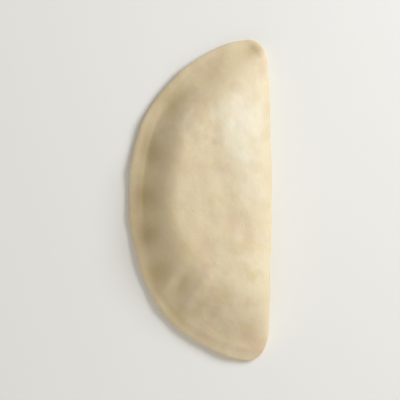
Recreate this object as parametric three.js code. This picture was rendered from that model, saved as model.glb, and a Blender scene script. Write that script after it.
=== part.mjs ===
// A raw empanada: a round of dough folded over its filling into a half-moon and pressed shut along its
// curved side. Millimetres, +Z up. It lies on its flat underside, tips along Y, pressed seam towards -X and
// rolled fold towards +X, with the origin under the middle of its outline.
import * as THREE from "three";
import { LoftGeometry } from "three/addons/geometries/LoftGeometry.js";

const { clamp, lerp, smoothstep } = THREE.MathUtils;

// Outline, seen from above. On each side of the line through the tips it follows
// |across / reach|^bend + |along / half length|^fullness = 1.
const LENGTH = 132; // tip to tip
const WIDTH = 58.4; // pressed seam to fold
const TIPS_FROM_FOLD = 9.4;
const SEAM_SIDE = { reach: WIDTH - TIPS_FROM_FOLD, fullness: 2.47, bend: 1.6 };
const FOLD_SIDE = { reach: TIPS_FROM_FOLD, fullness: 15, bend: 2 };
const FOLD_BOW = 1.2; // the fold's ends sit this far behind its middle
const HAND_CUT = [
  { waves: 5, depth: 0.3, start: 0.6 },
  { waves: 9, depth: 0.22, start: 2.1 },
  { waves: 16, depth: 0.1, start: 4.4 },
]; // how far the seam's edge wanders in and out
const FOLD_X = WIDTH / 2;
const TIPS_X = FOLD_X - TIPS_FROM_FOLD;

// Pressed seam: two layers of dough squeezed into one thin border
const SEAM_ROUNDNESS = 2.2; // of the half-moon that the border and the filling follow
const EDGE_HEIGHT = 2; // where the rim's rounded edge stands out furthest
const EDGE_TUCK = 1.4; // rounding under that edge
const LIP_ROUND = 1.8; // rounding over that edge
const LIP_RISE = 1.4;
const BORDER_WIDTH = 5.4;
const BORDER_CLIMB = 1.7; // the border climbs this much towards the filling
const PRESS_REACH = 15; // how far in the fingertips press
const PRESSES = [
  { turn: 1.13, depth: 0.4, spread: 0.1 },
  { turn: 0.75, depth: 0.75, spread: 0.11 },
  { turn: 0.38, depth: 1.1, spread: 0.12 },
  { turn: 0.03, depth: 1.2, spread: 0.13 },
  { turn: -0.26, depth: 1.2, spread: 0.11 },
  { turn: -0.56, depth: 1.1, spread: 0.09 },
  { turn: -0.87, depth: 0.5, spread: 0.12 },
  { turn: -1.19, depth: 0.3, spread: 0.1 },
]; // fingertip marks: where round the seam, in radians, how deep and how wide

// Filled dome: a bank inside the border, then a broad top that falls away to the tips
const DOME_RISE = 12.3;
// The bank round the middle of the seam and round each tip: where along the seam, in radians from its middle,
// the flat border outside it, its width up to where the top is level, how evenly it slopes (1 eases off all
// the way up, and more keeps the slope for longer) and how much of it is its foot
const MIDDLE_BANK = { turn: 0.2, border: BORDER_WIDTH, width: 15.6, evenness: 1.2, foot: 0.1 };
const TOP_BANK = { turn: 1.4, border: 2.5, width: 22, evenness: 1.8, foot: 0.12 };
const BOTTOM_BANK = { turn: 0.95, border: 1.2, width: 27, evenness: 1.8, foot: 0.12 };
const TOP_TAPER = 0.6; // share of the dome's height lost by the top tip
const BOTTOM_TAPER = 0.7; // and by the bottom tip
const TAPER_BEND = 3.5; // how late towards a tip it is lost
const CREST_FROM_FOLD = 25;
const CREST_HALF_LENGTH = 38;
// The crest bows so that its ends point at the tips
const CREST_BOW = ((CREST_FROM_FOLD - TIPS_FROM_FOLD) * CREST_HALF_LENGTH) / (LENGTH - CREST_HALF_LENGTH);

// Rolled fold
const FOLD_EDGE_RISE = 5; // how much higher than the seam's the fold's edge is
const FOLD_SHOULDER = 16; // from the fold to where the top is level
const FOLD_ROUND = 2; // 2 is a quarter ellipse and less is closer to a straight slope
const TOP_SHOULDER = 22; // the same two towards the top tip
const TOP_ROUND = 1.4;
const FOLD_LIP_ROUND = 7; // rounding over the fold's edge
const FOLD_TUCK = 5.5; // rounding under it

// Filling pushing up under the skin, and the hollows between: where, how wide and how high
const LUMPS = [
  { x: 14, y: -9, wide: 6, rise: -0.9 },
  { x: 9.5, y: 8.5, wide: 8, rise: -0.5 },
  { x: -4, y: -12.5, wide: 9, rise: 0.8 },
  { x: -7, y: 16, wide: 9, rise: 0.7 },
  { x: 16, y: 24, wide: 10, rise: 0.5 },
  { x: 14, y: -30, wide: 9, rise: 0.6 },
  { x: 4, y: 36, wide: 7, rise: -0.5 },
  { x: 18, y: -57, wide: 5, rise: -0.4 },
];

// Folds and puckers from the pinching: where, which way in radians, how long, how wide and how high
const PLEATS = [
  { x: 21, y: 62, heading: 0.5, long: 4.4, wide: 3.2, rise: -1 },
  { x: -8.5, y: 40.5, heading: 0.74, long: 6.5, wide: 3, rise: -0.7 },
  { x: -14, y: 28.5, heading: 0.97, long: 6, wide: 3, rise: -0.5 },
  { x: -13.5, y: -34, heading: 0.95, long: 6, wide: 2.1, rise: 0.85 },
  { x: -7.5, y: -34.5, heading: 1.1, long: 7, wide: 2.6, rise: -0.8 },
  { x: -4.5, y: -41, heading: 1.12, long: 5, wide: 2.5, rise: 1 },
  { x: 1, y: -34.5, heading: 0.75, long: 5.5, wide: 2.8, rise: 0.9 },
  { x: 4, y: -47, heading: 0.95, long: 6, wide: 2.6, rise: -0.4 },
];

// Facets
const SIDE_STEPS = 80; // along the fold, and as many along the seam
const TUCK_SHARES = [1, 0.62, 0.3, 0.08]; // of the rounding under the rim
const BORDER_INSETS = [0, 0.15, 0.55, 1.2, 2.2, 3.8, 5.4, 7, 8.6, 10, 11.2, 12.6, 14.2];
const DOME_SHARES = [0.14, 0.28, 0.42, 0.56, 0.7, 0.84, 1]; // of the way on to the crest

// The fold's edge, seen from above, at a given share of the way from the middle to a tip.
function foldEdge(along) {
  const corner = (1 - Math.abs(along) ** FOLD_SIDE.fullness) ** (1 / FOLD_SIDE.bend);
  return TIPS_X + (FOLD_SIDE.reach - FOLD_BOW * along * along) * corner;
}

function seamEdge(along) {
  return TIPS_X - SEAM_SIDE.reach * (1 - Math.abs(along) ** SEAM_SIDE.fullness) ** (1 / SEAM_SIDE.bend);
}

// One side of the rim seen from above, from the bottom tip to the top one.
class RimSide extends THREE.Curve {
  arcLengthDivisions = 1200;

  constructor(edge) {
    super();
    this.edge = edge;
  }

  getPoint(share, target = new THREE.Vector3()) {
    const along = Math.sin(Math.PI * (share - 0.5));
    const x = this.edge(along);
    const y = (LENGTH / 2) * along;
    const turn = Math.atan2(y, FOLD_X - x);
    const wander = HAND_CUT.reduce((sum, w) => sum + w.depth * Math.sin(w.waves * turn + w.start), 0);
    const cut = wander * smoothstep(TIPS_X - x, 0, SEAM_SIDE.reach / 4);
    const stretch = 1 + cut / Math.hypot(FOLD_X - x, y);
    return target.set(FOLD_X - (FOLD_X - x) * stretch, y * stretch, 0);
  }
}

// Quarter round that rises steeply from 0 and levels out at 1.
function quarterRound(share) {
  return Math.sqrt(1 - (1 - clamp(share, 0, 1)) ** 2);
}

// Where a point lies on the half-moon: how far in from the seam, along the line that fans out from the middle
// of the fold, and which way that line points.
function onHalfMoon(x, y) {
  const across = Math.max(FOLD_X - x, 0);
  const out = Math.max(Math.hypot(across, y), 1e-6);
  const size = (across / WIDTH) ** SEAM_ROUNDNESS + Math.abs((2 * y) / LENGTH) ** SEAM_ROUNDNESS;
  return { toSeam: Math.max(out / size ** (1 / SEAM_ROUNDNESS) - out, 0), turn: Math.atan2(y, across) };
}

// 0 along the fold, 1 along the seam.
function seamward(x) {
  return smoothstep(TIPS_X - x, -2, 8);
}

// 0 on the pressed border, 1 where the filling is at its full depth.
function filled({ toSeam, turn }) {
  const tip = turn > 0 ? TOP_BANK : BOTTOM_BANK;
  const tipward = smoothstep(Math.abs(turn), MIDDLE_BANK.turn, tip.turn);
  const foot = lerp(MIDDLE_BANK.foot, tip.foot, tipward);
  const evenness = lerp(MIDDLE_BANK.evenness, tip.evenness, tipward);
  const border = lerp(MIDDLE_BANK.border, tip.border, tipward);
  const way = clamp((toSeam - border) / lerp(MIDDLE_BANK.width, tip.width, tipward), 0, 1);
  const eased = way - foot * (1 - way) * (1 - Math.exp(-way / foot));
  return (eased * (evenness + 1 - eased ** evenness)) / evenness;
}

// Height of the roll over the border, a given distance in from the fold's edge.
function foldShoulder(inset, along) {
  const topward = smoothstep(along, 0, 0.6);
  const way = clamp(inset / lerp(FOLD_SHOULDER, TOP_SHOULDER, topward), 0, 1);
  const round = lerp(FOLD_ROUND, TOP_ROUND, topward);
  return lerp(FOLD_EDGE_RISE, DOME_RISE, (1 - (1 - way) ** round) ** (1 / round));
}

// Depth of the fingertip marks on the border and against the filling.
function pressMarks({ toSeam, turn }) {
  const marks = PRESSES.reduce((sum, press) => {
    const away = (turn - press.turn) / press.spread;
    return sum + press.depth * Math.exp(-away * away);
  }, 0);
  return marks * Math.sin(Math.PI * clamp(toSeam / PRESS_REACH, 0, 1));
}

// Share of the dome's full height that is left, a given share of the way from the middle to a tip.
function tipTaper(along) {
  return 1 - (along > 0 ? TOP_TAPER : BOTTOM_TAPER) * Math.abs(along) ** TAPER_BEND;
}

function lumpHeight(x, y) {
  return LUMPS.reduce((sum, lump) => {
    const away = Math.hypot(x - lump.x, y - lump.y) / lump.wide;
    return sum + lump.rise * Math.exp(-away * away);
  }, 0);
}

function pleatHeight(x, y) {
  const middle = new THREE.Vector2();
  return PLEATS.reduce((sum, pleat) => {
    const away = new THREE.Vector2(x - pleat.x, y - pleat.y).rotateAround(middle, -pleat.heading);
    return sum + pleat.rise * Math.exp(-((away.x / pleat.long) ** 2) - (away.y / pleat.wide) ** 2);
  }, 0);
}

// Height of the upper skin at a point that lies a given distance in from the rim.
function upperHeight(x, y, fromRim) {
  const along = clamp((2 * y) / LENGTH, -1, 1);
  const place = onHalfMoon(x, y);
  const lipRound = lerp(FOLD_LIP_ROUND, LIP_ROUND, seamward(x));
  const border = EDGE_HEIGHT + LIP_RISE * quarterRound(fromRim / lipRound);
  const climb = BORDER_CLIMB * smoothstep(place.toSeam, 0, BORDER_WIDTH);
  const dome = filled(place) * foldShoulder(foldEdge(along) - x, along) * tipTaper(along);
  const worked = lumpHeight(x, y) + pleatHeight(x, y) - pressMarks(place);
  return border + climb + dome + worked * smoothstep(fromRim, 0.3, 4);
}

// The rim's points, anticlockwise, each with the way in from it to its place on the crest, which it shares
// with the point across from it.
function rimStations() {
  const sides = [new RimSide(foldEdge), new RimSide(seamEdge)];
  return Array.from({ length: 2 * SIDE_STEPS }, (_, i) => {
    const onFold = i < SIDE_STEPS;
    const share = (onFold ? i : 2 * SIDE_STEPS - i) / SIDE_STEPS;
    const side = sides[onFold ? 0 : 1];
    const tangent = side.getTangentAt(share).multiplyScalar(onFold ? 1 : -1);
    const { x, y } = side.getPointAt(share);
    const point = new THREE.Vector2(x, y);
    const along = lerp(-1, 1, share);
    const crestX = FOLD_X - CREST_FROM_FOLD + CREST_BOW * along * along;
    const crest = new THREE.Vector2(crestX, CREST_HALF_LENGTH * along);
    const outward = new THREE.Vector2(tangent.y, -tangent.x);
    return { point, crest, reach: point.clone().sub(crest).dot(outward) };
  });
}

function inFromRim({ point, crest, reach }, inset) {
  return point.clone().lerp(crest, inset / reach);
}

function underPoint(station, tuckShare) {
  const { x, y } = station.point;
  const tuck = lerp(EDGE_TUCK, FOLD_TUCK, filled(onHalfMoon(x, y)));
  const inner = inFromRim(station, tuck * tuckShare);
  return new THREE.Vector3(inner.x, inner.y, upperHeight(x, y, 0) * (1 - quarterRound(tuckShare)));
}

function upperPoint(station, inset) {
  const inner = inFromRim(station, inset);
  return new THREE.Vector3(inner.x, inner.y, upperHeight(inner.x, inner.y, inset));
}

// Rings of skin from the flat underside, round the rim and up to the crest, set down with the origin under
// the middle.
function doughGeometry() {
  const stations = rimStations();
  const lastBorder = BORDER_INSETS.at(-1);
  const rings = [
    ...TUCK_SHARES.map((share) => stations.map((s) => underPoint(s, share))),
    ...BORDER_INSETS.map((inset) => stations.map((s) => upperPoint(s, inset))),
    ...DOME_SHARES.map((share) => stations.map((s) => upperPoint(s, lerp(lastBorder, s.reach, share)))),
  ];
  const geometry = new LoftGeometry(rings, { capStart: true });
  geometry.computeBoundingBox();
  const middle = geometry.boundingBox.getCenter(new THREE.Vector3());
  return geometry.translate(-middle.x, -middle.y, -geometry.boundingBox.min.z);
}

const dough = new THREE.MeshStandardMaterial({ color: 0xdcc9a3, roughness: 0.6, metalness: 0 });

const empanada = new THREE.Mesh(doughGeometry(), dough);
empanada.name = "empanada";

const part = new THREE.Group();
part.name = "raw_empanada";
part.add(empanada);

export default part;
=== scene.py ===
"""A raw empanada on a plain pale floor, seen from above in soft light from the upper right."""

import bpy
import numpy as np
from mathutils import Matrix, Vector, noise


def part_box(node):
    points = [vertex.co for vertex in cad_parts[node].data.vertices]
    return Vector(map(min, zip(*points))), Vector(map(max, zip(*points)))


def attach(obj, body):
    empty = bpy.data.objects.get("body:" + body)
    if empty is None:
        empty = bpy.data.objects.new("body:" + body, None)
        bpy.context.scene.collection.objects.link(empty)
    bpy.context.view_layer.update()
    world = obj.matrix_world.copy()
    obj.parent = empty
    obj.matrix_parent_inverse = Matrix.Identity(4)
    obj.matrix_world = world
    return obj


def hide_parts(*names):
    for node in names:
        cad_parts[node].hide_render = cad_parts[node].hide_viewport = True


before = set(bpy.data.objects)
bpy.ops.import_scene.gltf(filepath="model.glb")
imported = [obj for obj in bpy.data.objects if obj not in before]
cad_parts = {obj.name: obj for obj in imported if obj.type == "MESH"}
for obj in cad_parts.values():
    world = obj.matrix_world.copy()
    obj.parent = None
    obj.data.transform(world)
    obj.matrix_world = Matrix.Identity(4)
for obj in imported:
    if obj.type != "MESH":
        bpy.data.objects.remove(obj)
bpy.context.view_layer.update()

# The dough's forms are in millimetres, and fitted() brings the skin into the frame's metres

# Outline, seen from above. On each side of the line through the tips it follows
# |across / reach|^bend + |along / half length|^fullness = 1.
LENGTH = 132.0
WIDTH = 58.4
TIPS_FROM_FOLD = 9.4
SEAM_FULLNESS, SEAM_BEND = 2.47, 1.6
FOLD_FULLNESS, FOLD_BEND = 15, 2
FOLD_BOW = 1.2  # the fold's ends sit this far behind its middle
HAND_CUT = (
    (5, 0.3, 0.6),
    (9, 0.22, 2.1),
    (16, 0.1, 4.4),
)  # waves, depth and start of the seam's wandering edge
FOLD_X = WIDTH / 2
TIPS_X = FOLD_X - TIPS_FROM_FOLD
SEAM_REACH = WIDTH - TIPS_FROM_FOLD
SEAM_SIDE = (-2, 8)  # past the line through the tips, where the fold ends and the seam begins

# Pressed seam
SEAM_ROUNDNESS = 2.2  # of the half-moon that the border and the filling follow
EDGE_HEIGHT = 2.0  # where the rim's rounded edge stands out furthest
EDGE_TUCK = 1.4  # rounding under that edge
LIP_ROUND = 1.8  # rounding over that edge
LIP_RISE = 1.4
BORDER_WIDTH = 5.4
TOP_BORDER, BOTTOM_BORDER = 2.5, 1.2
BORDER_CLIMB = 1.7  # the border climbs this much towards the filling
PRESS_REACH = 15.0  # how far in the fingertips press
PRESSES = (
    (1.13, 0.4, 0.1),
    (0.75, 0.75, 0.11),
    (0.38, 1.1, 0.12),
    (0.03, 1.2, 0.13),
    (-0.26, 1.2, 0.11),
    (-0.56, 1.1, 0.09),
    (-0.87, 0.5, 0.12),
    (-1.19, 0.3, 0.1),
)  # turn, depth and half width in radians of each fingertip mark

# Filled dome
DOME_RISE = 12.3
DOME_BANK = 15.6
TOP_BANK = 22.0
BOTTOM_BANK = 27.0
DOME_EVENNESS = 1.2  # 1 eases the bank's slope off all the way up, and more keeps it even longer
TIP_EVENNESS = 1.8
DOME_SOFT_START = 0.1
TIP_SOFT_START = 0.12
TURN_FROM, TOP_TURN, BOTTOM_TURN = 0.2, 1.4, 0.95  # where the bank's middle ends and its tips begin
TOP_TAPER = 0.6  # share of the dome's height lost by the top tip
BOTTOM_TAPER = 0.7  # and by the bottom tip
TAPER_BEND = 3.5  # how late towards a tip it is lost
CREST_FROM_FOLD = 25.0
CREST_HALF_LENGTH = 38.0
# With this bow the crest's ends aim at the tips
CREST_BOW = (CREST_FROM_FOLD - TIPS_FROM_FOLD) * CREST_HALF_LENGTH / (LENGTH - CREST_HALF_LENGTH)

# Rolled fold
FOLD_EDGE_RISE = 5.0  # how much higher than the seam's the fold's edge is
FOLD_SHOULDER = 16.0  # from the fold to where the top is level
FOLD_ROUND = 2.0  # 2 is a quarter ellipse and less is closer to a straight slope
TOP_SHOULDER = 22.0  # the same two towards the top tip
TOP_ROUND = 1.4
TOP_SHOULDER_FROM = 0.6  # of the way from the middle to the tip
FOLD_LIP_ROUND = 7.0  # rounding over the fold's edge
FOLD_TUCK = 5.5  # rounding under it

# Filling pushing up under the skin, and the hollows between: x, y, how wide and how high
LUMPS = (
    (14, -9, 6, -0.9),
    (9.5, 8.5, 8, -0.5),
    (-4, -12.5, 9, 0.8),
    (-7, 16, 9, 0.7),
    (16, 24, 10, 0.5),
    (14, -30, 9, 0.6),
    (4, 36, 7, -0.5),
    (18, -57, 5, -0.4),
)

# Folds and puckers that the pinching draws in the dough: x, y, heading in radians, half length,
# half width and height
PLEATS = (
    (21, 62, 0.5, 4.4, 3.2, -1),
    (-8.5, 40.5, 0.74, 6.5, 3, -0.7),
    (-14, 28.5, 0.97, 6, 3, -0.5),
    (-13.5, -34, 0.95, 6, 2.1, 0.85),
    (-7.5, -34.5, 1.1, 7, 2.6, -0.8),
    (-4.5, -41, 1.12, 5, 2.5, 1),
    (1, -34.5, 0.75, 5.5, 2.8, 0.9),
    (4, -47, 0.95, 6, 2.6, -0.4),
)
RIM_FADE = (0.3, 4)  # lumps, pleats and fingertip marks fade out over this, towards the rim

# Patches of pinker dough, one of them painted shade in a hollow, of yellower dough, and whiter
# patches of painted highlight: x, y, how wide and how strong
PATCHES = {
    "blush_and_shade": (
        (19.5, -55, 6, 0.9),
        (1.5, -55, 4, 0.6),
        (-4, -41, 5, 0.5),
        (-16, -37.5, 3, 0.6),
        (-16, -21, 6, 0.6),
        (-7, 16, 9, 0.5),
        # Darker pink here as painted shade in the hollow of the lump at (14, -9)
        (13, -8.5, 5, 0.6),
        (-22, 25, 4, 0.7),
        (5, 56, 5, 0.5),
    ),
    "straw": (
        (-5, -21, 4.5, 0.7),
        (-20, -30, 3, 0.9),
        (-9, -48, 4.5, 0.7),
        (-14, 41, 4, 0.4),
        (12, 59, 5, 0.4),
    ),
    # Whiter patches of painted highlight, mostly along the fold's shoulder towards the top tip
    "painted_highlight": (
        (17, 34, 9, 0.85),
        (19, 18, 8, 0.7),
        (21, 4, 6, 0.6),
        (-6, -40.5, 3.5, 0.3),
    ),
}
UNDERSIDE_HEIGHT = 1  # the pressed dough's yellower tint, with its painted shade, ends this far above the floor

# Skin: unevenness of each size, as feature size, height and seed
SWELLS = (
    (13.0, 0.36, 3),
    (6.0, 0.24, 4),
    (2.6, 0.06, 5),
)
SWELL_FADE = (0.2, 2.5)  # heights above the floor over which it begins

# Line between the two layers of dough at the seam's edge
SEAM_LINE_DEPTH = 0.5
SEAM_LINE_WIDTH = 0.38
SEAM_LINE_WANDER = 0.5
SEAM_LINE_WAVE = 9
SEAM_LINE_SEED = 11
SEAM_LINE_FADE = (0.6, 1.6)  # it ends this far in from the seam

# The lip is thinner by this where a fingertip presses
LIP_SQUEEZE = 0.55
MEAN_PRESS = 0.5
SQUEEZE_HEIGHTS = (2, 3.6)
SQUEEZE_FADE = (1.5, 5)  # it ends this far in from the seam

# Mesh: rings from the middle of the underside, round the rim and up to the crest
RIM_SAMPLES = 4000
SIDE_STEPS = 360  # along the fold, and as many along the seam
FLAT_RINGS = 5
TUCK_RINGS = 9
LIP_RINGS = 9
BANK_RINGS = 34
BANK_END = 14.0
DOME_RINGS = 30
NEAR_ZERO = 1e-6


def lerp(low, high, share):
    return low + (high - low) * share


def smoothstep(value, low, high):
    share = np.clip((value - low) / (high - low), 0, 1)
    return share * share * (3 - 2 * share)


def quarter_round(share):
    """Rises steeply from 0 and levels out at 1."""
    return np.sqrt(1 - (1 - np.clip(share, 0, 1)) ** 2)


def fold_edge(along):
    corner = (1 - np.abs(along) ** FOLD_FULLNESS) ** (1 / FOLD_BEND)
    return TIPS_X + (TIPS_FROM_FOLD - FOLD_BOW * along * along) * corner


def seam_edge(along):
    return TIPS_X - SEAM_REACH * (1 - np.abs(along) ** SEAM_FULLNESS) ** (1 / SEAM_BEND)


def rim_side(edge):
    """Evenly spaced points along one side of the rim, from the bottom tip to the top one."""
    along = np.sin(np.pi * (np.linspace(0, 1, RIM_SAMPLES) - 0.5))
    x, y = edge(along), LENGTH / 2 * along
    turn = np.arctan2(y, FOLD_X - x)
    wander = sum(depth * np.sin(waves * turn + start) for waves, depth, start in HAND_CUT)
    cut = wander * smoothstep(TIPS_X - x, 0, SEAM_REACH / 4)
    stretch = 1 + cut / np.hypot(FOLD_X - x, y)
    points = np.column_stack((FOLD_X - (FOLD_X - x) * stretch, y * stretch))
    gone = np.append(0, np.cumsum(np.linalg.norm(np.diff(points, axis=0), axis=1)))
    steps = np.linspace(0, gone[-1], SIDE_STEPS + 1)
    return np.column_stack([np.interp(steps, gone, points[:, k]) for k in (0, 1)])


def on_half_moon(x, y):
    """How far in from the seam a point lies, and its turn.

    Both are on the line through it from the middle of the fold.
    """
    across = np.maximum(FOLD_X - x, 0)
    out = np.maximum(np.hypot(across, y), NEAR_ZERO)
    size = (across / WIDTH) ** SEAM_ROUNDNESS + np.abs(2 * y / LENGTH) ** SEAM_ROUNDNESS
    return np.maximum(out / size ** (1 / SEAM_ROUNDNESS) - out, 0), np.arctan2(y, across)


def seam_side(x):
    """0 along the fold, 1 along the seam."""
    return smoothstep(TIPS_X - x, *SEAM_SIDE)


def tipward(turn):
    """0 at the middle of the seam, 1 round the tips."""
    return smoothstep(np.abs(turn), TURN_FROM, np.where(turn > 0, TOP_TURN, BOTTOM_TURN))


def filled(to_seam, turn):
    """0 on the pressed border, 1 where the filling is at its full depth."""
    to_tip = tipward(turn)
    border = lerp(BORDER_WIDTH, np.where(turn > 0, TOP_BORDER, BOTTOM_BORDER), to_tip)
    bank = lerp(DOME_BANK, np.where(turn > 0, TOP_BANK, BOTTOM_BANK), to_tip)
    way = np.clip((to_seam - border) / bank, 0, 1)
    soft = lerp(DOME_SOFT_START, TIP_SOFT_START, to_tip)
    eased = way - soft * (1 - way) * (1 - np.exp(-way / soft))
    even = lerp(DOME_EVENNESS, TIP_EVENNESS, to_tip)
    return eased * (even + 1 - eased**even) / even


def fold_shoulder(inset, along):
    """How high the dome may stand, this far in from the fold."""
    to_top = smoothstep(along, 0, TOP_SHOULDER_FROM)
    way = np.clip(inset / lerp(FOLD_SHOULDER, TOP_SHOULDER, to_top), 0, 1)
    rounded = lerp(FOLD_ROUND, TOP_ROUND, to_top)
    return lerp(FOLD_EDGE_RISE, DOME_RISE, (1 - (1 - way) ** rounded) ** (1 / rounded))


def press_marks(turn):
    """How deep the fingertips press, round the seam."""
    return sum(depth * np.exp(-(((turn - at) / wide) ** 2)) for at, depth, wide in PRESSES)


def fingertips(to_seam, turn):
    """Depth of the fingertip marks, which are deepest halfway in."""
    return press_marks(turn) * np.sin(np.pi * np.clip(to_seam / PRESS_REACH, 0, 1))


def spots(x, y, table):
    """Sum of round soft spots: where, how wide and how strong."""
    return sum(
        peak * np.exp(-((x - at_x) ** 2 + (y - at_y) ** 2) / wide**2)
        for at_x, at_y, wide, peak in table
    )


def pleat_heights(x, y):
    """How far each pleat stands up, in a list."""
    heights = []
    for at_x, at_y, heading, half_length, half_width, height in PLEATS:
        on = (x - at_x) * np.cos(heading) + (y - at_y) * np.sin(heading)
        off = (y - at_y) * np.cos(heading) - (x - at_x) * np.sin(heading)
        heights.append(height * np.exp(-((on / half_length) ** 2) - (off / half_width) ** 2))
    return heights


def tip_taper(along):
    return 1 - np.where(along > 0, TOP_TAPER, BOTTOM_TAPER) * np.abs(along) ** TAPER_BEND


def upper_height(x, y, from_rim):
    along = np.clip(2 * y / LENGTH, -1, 1)
    to_seam, turn = on_half_moon(x, y)
    lip_round = lerp(FOLD_LIP_ROUND, LIP_ROUND, seam_side(x))
    border = EDGE_HEIGHT + LIP_RISE * quarter_round(from_rim / lip_round)
    climb = BORDER_CLIMB * smoothstep(to_seam, 0, BORDER_WIDTH)
    dome = filled(to_seam, turn) * fold_shoulder(fold_edge(along) - x, along) * tip_taper(along)
    worked = spots(x, y, LUMPS) + sum(pleat_heights(x, y)) - fingertips(to_seam, turn)
    return border + climb + dome + worked * smoothstep(from_rim, *RIM_FADE)


class Stations:
    """The rim's points, anticlockwise, each with the crest's point on its way in."""

    def __init__(self):
        self.rim = np.vstack((rim_side(fold_edge), rim_side(seam_edge)[-2:0:-1]))
        share = np.arange(SIDE_STEPS + 1) / SIDE_STEPS
        along = lerp(-1, 1, np.append(share, share[-2:0:-1]))
        crest_x = FOLD_X - CREST_FROM_FOLD + CREST_BOW * along**2
        self.crest = np.column_stack((crest_x, CREST_HALF_LENGTH * along))
        tangent = np.roll(self.rim, -1, axis=0) - np.roll(self.rim, 1, axis=0)
        tangent /= np.linalg.norm(tangent, axis=1)[:, None]
        outward = np.column_stack((tangent[:, 1], -tangent[:, 0]))
        self.reach = np.sum((self.rim - self.crest) * outward, axis=1)

    def inward(self, inset):
        return lerp(self.rim, self.crest, (inset / self.reach)[:, None])


def ring(plan, height):
    return np.column_stack((plan, np.broadcast_to(height, len(plan))))


def skin_rings():
    """The rings of the skin, from the middle of the underside to the crest."""
    at = Stations()
    edge_height = upper_height(*at.rim.T, np.zeros(len(at.rim)))
    tuck = lerp(EDGE_TUCK, FOLD_TUCK, filled(*on_half_moon(*at.rim.T)))
    rings = []
    for share in np.arange(FLAT_RINGS) / FLAT_RINGS:
        rings.append(ring(at.inward(lerp(at.reach, tuck, share)), 0))
    for angle in np.linspace(np.pi / 2, 0, TUCK_RINGS, endpoint=False):
        rings.append(ring(at.inward(tuck * (1 - np.cos(angle))), edge_height * (1 - np.sin(angle))))
    lip = LIP_ROUND * (1 - np.cos(np.linspace(0, np.pi / 2, LIP_RINGS, endpoint=False)))
    bank = np.linspace(LIP_ROUND, BANK_END, BANK_RINGS, endpoint=False)
    insets = [np.full_like(at.reach, inset) for inset in np.append(lip, bank)]
    insets += [lerp(BANK_END, at.reach, share) for share in np.linspace(0, 1, DOME_RINGS)]
    for inset in insets:
        plan = at.inward(inset)
        rings.append(ring(plan, upper_height(*plan.T, inset)))
    return rings


def joined(rings):
    """Vertices and quads. The first and last ring lie folded on a line and are sewn shut."""
    around = 2 * SIDE_STEPS
    folded = np.append(np.arange(SIDE_STEPS + 1), np.arange(SIDE_STEPS - 1, 0, -1))
    whole = len(rings) - 2
    rows = [folded]
    rows += [SIDE_STEPS + 1 + k * around + np.arange(around) for k in range(whole)]
    rows.append(SIDE_STEPS + 1 + whole * around + folded)
    points = np.vstack([rings[0][: SIDE_STEPS + 1], *rings[1:-1], rings[-1][: SIDE_STEPS + 1]])
    low, high = np.array(rows[:-1]), np.array(rows[1:])
    quads = np.stack((low, np.roll(low, -1, axis=1), np.roll(high, -1, axis=1), high), axis=-1)
    return points, quads.reshape(-1, 4)


def bumps(points, size, seed):
    """Smooth unevenness of about the given size, from -1 to 1."""
    away = Vector((seed, -seed, 2 * seed))
    return np.array([noise.noise(Vector(point) / size + away) for point in points])


def relief(points):
    """How far the skin stands out from the smooth form."""
    x, y, z = points.T
    to_seam, turn = on_half_moon(x, y)
    swell = sum(height * bumps(points, size, seed) for size, height, seed in SWELLS)
    wander = bumps(points * (1, 1, 0), SEAM_LINE_WAVE, SEAM_LINE_SEED)
    level = EDGE_HEIGHT + SEAM_LINE_WANDER * wander
    line = SEAM_LINE_DEPTH * np.exp(-(((z - level) / SEAM_LINE_WIDTH) ** 2))
    line *= 1 - smoothstep(to_seam, *SEAM_LINE_FADE)
    squeeze = LIP_SQUEEZE * (press_marks(turn) - MEAN_PRESS) * smoothstep(z, *SQUEEZE_HEIGHTS)
    squeeze *= 1 - smoothstep(to_seam, *SQUEEZE_FADE)
    return swell * smoothstep(z, *SWELL_FADE) - (line + squeeze) * seam_side(x)


def new_mesh(name, points, faces):
    mesh = bpy.data.meshes.new(name)
    mesh.from_pydata(points.tolist(), [], faces.tolist())
    return mesh


def new_object(name, data):
    made = bpy.data.objects.new(name, data)
    bpy.context.collection.objects.link(made)
    return made


def vertex_values(mesh, name, values):
    layer = mesh.attributes.new(name, "FLOAT", "POINT")
    layer.data.foreach_set("value", values.astype(np.float32))


def fitted(points, low, high):
    """The points stretched to fill a box."""
    start, end = points.min(axis=0), points.max(axis=0)
    return np.array(low) + (points - start) * (np.array(high) - np.array(low)) / (end - start)


def make_empanada():
    points, quads = joined(skin_rings())
    mesh = new_mesh("empanada_skin", points, quads)
    mesh.shade_smooth()
    normals = np.empty(3 * len(points), dtype=np.float32)
    mesh.vertex_normals.foreach_get("vector", normals)
    worked = points + normals.reshape(-1, 3) * relief(points)[:, None]
    worked[:, 2] = np.maximum(worked[:, 2], 0)
    placed = fitted(worked, *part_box("empanada"))
    mesh.vertices.foreach_set("co", placed.astype(np.float32).ravel())
    x, y, z = points.T
    # The fingertip marks and the pleats' hollows get the pressed dough's yellower tint and also
    # painted shade, which darkens them
    hollows = -np.min(pleat_heights(x, y), axis=0)
    pressed_and_shade = np.maximum(fingertips(*on_half_moon(x, y)), hollows)
    vertex_values(mesh, "pressed_and_shade", pressed_and_shade * (z > UNDERSIDE_HEIGHT))
    for name, table in PATCHES.items():
        vertex_values(mesh, name, spots(x, y, table))
    mesh.update()
    mesh.materials.append(dough_material())
    return new_object("empanada_skin", mesh)


def srgb(red, green, blue):
    """A display colour of 0 to 255 as the linear colour that shaders take."""
    share = np.array((red, green, blue)) / 255
    linear = np.where(share <= 0.04045, share / 12.92, ((share + 0.055) / 1.055) ** 2.4)
    return (*linear.tolist(), 1.0)


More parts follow.
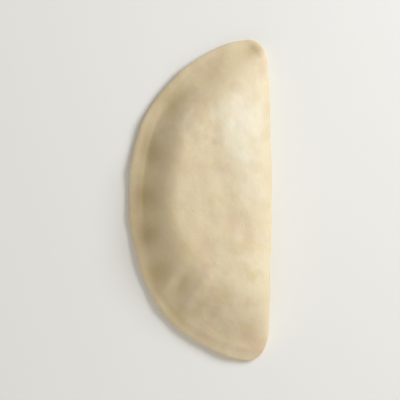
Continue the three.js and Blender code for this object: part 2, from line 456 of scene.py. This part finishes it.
class Shader:
    """A material's nodes, made and joined one by one. Sizes are in metres."""

    def __init__(self, name):
        self.material = bpy.data.materials.new(name)
        self.material.use_nodes = True
        self.tree = self.material.node_tree
        self.bsdf = self.tree.nodes["Principled BSDF"]

    def node(self, kind, **settings):
        made = self.tree.nodes.new(kind)
        for name, value in settings.items():
            setattr(made, name, value)
        return made

    def join(self, source, target):
        self.tree.links.new(source, target)

    def feed(self, socket, value):
        if isinstance(value, bpy.types.NodeSocket):
            self.join(value, socket)
        else:
            socket.default_value = value

    def attribute(self, name):
        return self.node("ShaderNodeAttribute", attribute_name=name).outputs["Fac"]

    def noise(self, where, size, detail=2.0):
        """Noise of about the given size."""
        made = self.node("ShaderNodeTexNoise")
        self.join(where, made.inputs["Vector"])
        made.inputs["Scale"].default_value = 1 / size
        made.inputs["Detail"].default_value = detail
        return made.outputs["Fac"]

    def ranged(self, value, low, high, to_low=0.0, to_high=1.0):
        """The value with low and high brought to other values, and eased between them."""
        made = self.node("ShaderNodeMapRange", interpolation_type="SMOOTHSTEP")
        self.join(value, made.inputs["Value"])
        ends = {"From Min": low, "From Max": high, "To Min": to_low, "To Max": to_high}
        for name, number in ends.items():
            made.inputs[name].default_value = number
        return made.outputs["Result"]

    def clouds(self, where, size, detail=2.0, **ends):
        return self.ranged(self.noise(where, size, detail), **ends)

    def mixed(self, share, first, second):
        made = self.node("ShaderNodeMix", data_type="RGBA")
        colours = [socket for socket in made.inputs if socket.type == "RGBA"]
        self.feed(made.inputs["Factor"], share)
        self.feed(colours[0], first)
        self.feed(colours[1], second)
        return next(socket for socket in made.outputs if socket.type == "RGBA")

    def maths(self, operation, first, second):
        made = self.node("ShaderNodeMath", operation=operation)
        self.feed(made.inputs[0], first)
        self.feed(made.inputs[1], second)
        return made.outputs[0]


CREAM = srgb(226, 209, 174)
PALE = srgb(233, 219, 188)
# Pinker dough, also used as painted shade in one hollow
PINK_AND_SHADE_TINT = srgb(221, 196, 165)
STRAW = srgb(221, 203, 155)
# Yellower pressed dough, darker as painted shade in the fingertip marks and hollows
PRESSED_AND_SHADE_TINT = srgb(199, 178, 132)
BRAN = srgb(176, 146, 100)
# White of the painted highlight patches
HIGHLIGHT_WHITE = srgb(240, 234, 214)

# Clouds in the dough: how large they are, the noise where they begin and end, and how strong
PALE_CLOUDS = {"size": 0.022, "low": 0.35, "high": 0.68}
BLUSH_CLOUDS = {"size": 0.011, "low": 0.48, "high": 0.7, "to_high": 0.7}
STRAW_CLOUDS = {"size": 0.007, "low": 0.5, "high": 0.72, "to_high": 0.6}
GRAIN = {"size": 0.0011, "detail": 3, "low": 0.3, "high": 0.7, "to_high": 0.18}
# Noise that breaks up the painted highlight patches
HIGHLIGHT_BREAKUP = {"size": 0.008, "detail": 4, "low": 0.3, "high": 0.6, "to_low": 0.4}
ROUGHNESS = {"size": 0.006, "low": 0.3, "high": 0.7, "to_low": 0.58, "to_high": 0.7}
PRESSED_AND_SHADE_STRENGTH = 0.8
SPECK_SPACING = 0.0032
SPECKS = {"low": 0.06, "high": 0.11, "to_low": 0.28, "to_high": 0.0}  # from a speck's middle out

# Fine grain of the skin
SKIN_SIZE, SKIN_DETAIL = 0.0016, 3
PORE_SIZE, PORE_SHARE = 0.0005, 0.35
BUMP_STRENGTH = 0.35
BUMP_DISTANCE = 0.0003

DOUGH_SURFACE = {
    "Specular IOR Level": 0.85,
    "Subsurface Weight": 0.25,
    "Subsurface Radius": (1.0, 0.62, 0.36),
    "Subsurface Scale": 0.0022,
}


def dough_colour(shader, where):
    """Cream and cloudy with bran specks; yellower where pressed thin, with painted shade there and
    in hollows, and patches of painted highlight.
    """
    blush_and_shade = shader.maths("MAXIMUM", shader.clouds(where, **BLUSH_CLOUDS), shader.attribute("blush_and_shade"))
    straw = shader.maths("MAXIMUM", shader.clouds(where, **STRAW_CLOUDS), shader.attribute("straw"))
    pressed_and_shade = shader.maths("MULTIPLY", shader.attribute("pressed_and_shade"), PRESSED_AND_SHADE_STRENGTH)
    breakup = shader.clouds(where, **HIGHLIGHT_BREAKUP)
    painted_highlight = shader.maths("MULTIPLY", shader.attribute("painted_highlight"), breakup)
    cells = shader.node("ShaderNodeTexVoronoi")
    shader.join(where, cells.inputs["Vector"])
    cells.inputs["Scale"].default_value = 1 / SPECK_SPACING
    layers = (
        (shader.clouds(where, **PALE_CLOUDS), PALE),
        (blush_and_shade, PINK_AND_SHADE_TINT),
        (straw, STRAW),
        (pressed_and_shade, PRESSED_AND_SHADE_TINT),
        (shader.clouds(where, **GRAIN), STRAW),
        (shader.ranged(cells.outputs["Distance"], **SPECKS), BRAN),
        (painted_highlight, HIGHLIGHT_WHITE),
    )
    colour = CREAM
    for share, tint in layers:
        colour = shader.mixed(share, colour, tint)
    return colour


def dough_grain(shader, where):
    """The normal of a skin with fine grain and pores."""
    pores = shader.maths("MULTIPLY", shader.noise(where, PORE_SIZE), PORE_SHARE)
    skin = shader.maths("ADD", shader.noise(where, SKIN_SIZE, SKIN_DETAIL), pores)
    bump = shader.node("ShaderNodeBump")
    bump.inputs["Strength"].default_value = BUMP_STRENGTH
    bump.inputs["Distance"].default_value = BUMP_DISTANCE
    shader.join(skin, bump.inputs["Height"])
    return bump.outputs["Normal"]


def dough_material():
    """Raw wheat dough, matt with a faint soft sheen."""
    shader = Shader("dough")
    where = shader.node("ShaderNodeTexCoord").outputs["Object"]
    inputs = shader.bsdf.inputs
    shader.join(dough_colour(shader, where), inputs["Base Color"])
    shader.join(shader.clouds(where, **ROUGHNESS), inputs["Roughness"])
    shader.join(dough_grain(shader, where), inputs["Normal"])
    for name, value in DOUGH_SURFACE.items():
        inputs[name].default_value = value
    return shader.material


# Floor, camera and lights are in metres
FLOOR_COLOUR = srgb(240, 240, 238)
FLOOR_ROUGHNESS = 0.8
FLOOR_SIZE = 4.0


def make_floor():
    corners = np.array([(-1, -1, 0), (1, -1, 0), (1, 1, 0), (-1, 1, 0)]) * FLOOR_SIZE / 2
    mesh = new_mesh("floor", corners, np.array([(0, 1, 2, 3)]))
    shader = Shader("floor")
    shader.bsdf.inputs["Base Color"].default_value = FLOOR_COLOUR
    shader.bsdf.inputs["Roughness"].default_value = FLOOR_ROUGHNESS
    mesh.materials.append(shader.material)
    return new_object("floor", mesh)


LENS = 180.0
SENSOR = 36.0
FRAME_HEIGHT = 0.165  # height of the view at the floor


def make_camera():
    data = bpy.data.cameras.new("camera")
    data.lens = LENS
    data.sensor_width = SENSOR
    camera = new_object("camera", data)
    camera.location = (0, 0, FRAME_HEIGHT * LENS / SENSOR)
    bpy.context.scene.camera = camera


LIGHT_DISTANCE = 0.9
LIGHTS = (
    ("key", (0.66, 0.41, 0.64), 0.5, 5.95, (0.945, 0.975, 1.0)),
    ("fill", (-0.2, -0.85, 0.48), 0.7, 1.25, (1.0, 0.96, 0.9)),
)  # name, the way to it, size, power and colour
SKY_COLOUR = (1.0, 0.948, 0.868, 1.0)
SKY_STRENGTH = 0.41


def make_area_light(name, direction, size, power, colour):
    data = bpy.data.lights.new(name, "AREA")
    data.shape = "DISK"
    data.size = size
    data.energy = power
    data.color = colour
    light = new_object(name, data)
    towards = Vector(direction).normalized()
    light.location = towards * LIGHT_DISTANCE
    light.rotation_euler = towards.to_track_quat("Z", "Y").to_euler()


def light_scene():
    for light in LIGHTS:
        make_area_light(*light)
    world = bpy.data.worlds.new("studio")
    world.use_nodes = True
    background = world.node_tree.nodes["Background"]
    background.inputs["Color"].default_value = SKY_COLOUR
    background.inputs["Strength"].default_value = SKY_STRENGTH
    bpy.context.scene.world = world
    bpy.context.scene.view_settings.view_transform = "Standard"


make_camera()
light_scene()
make_floor()

empanada = make_empanada()
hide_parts("empanada")
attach(empanada, "root")
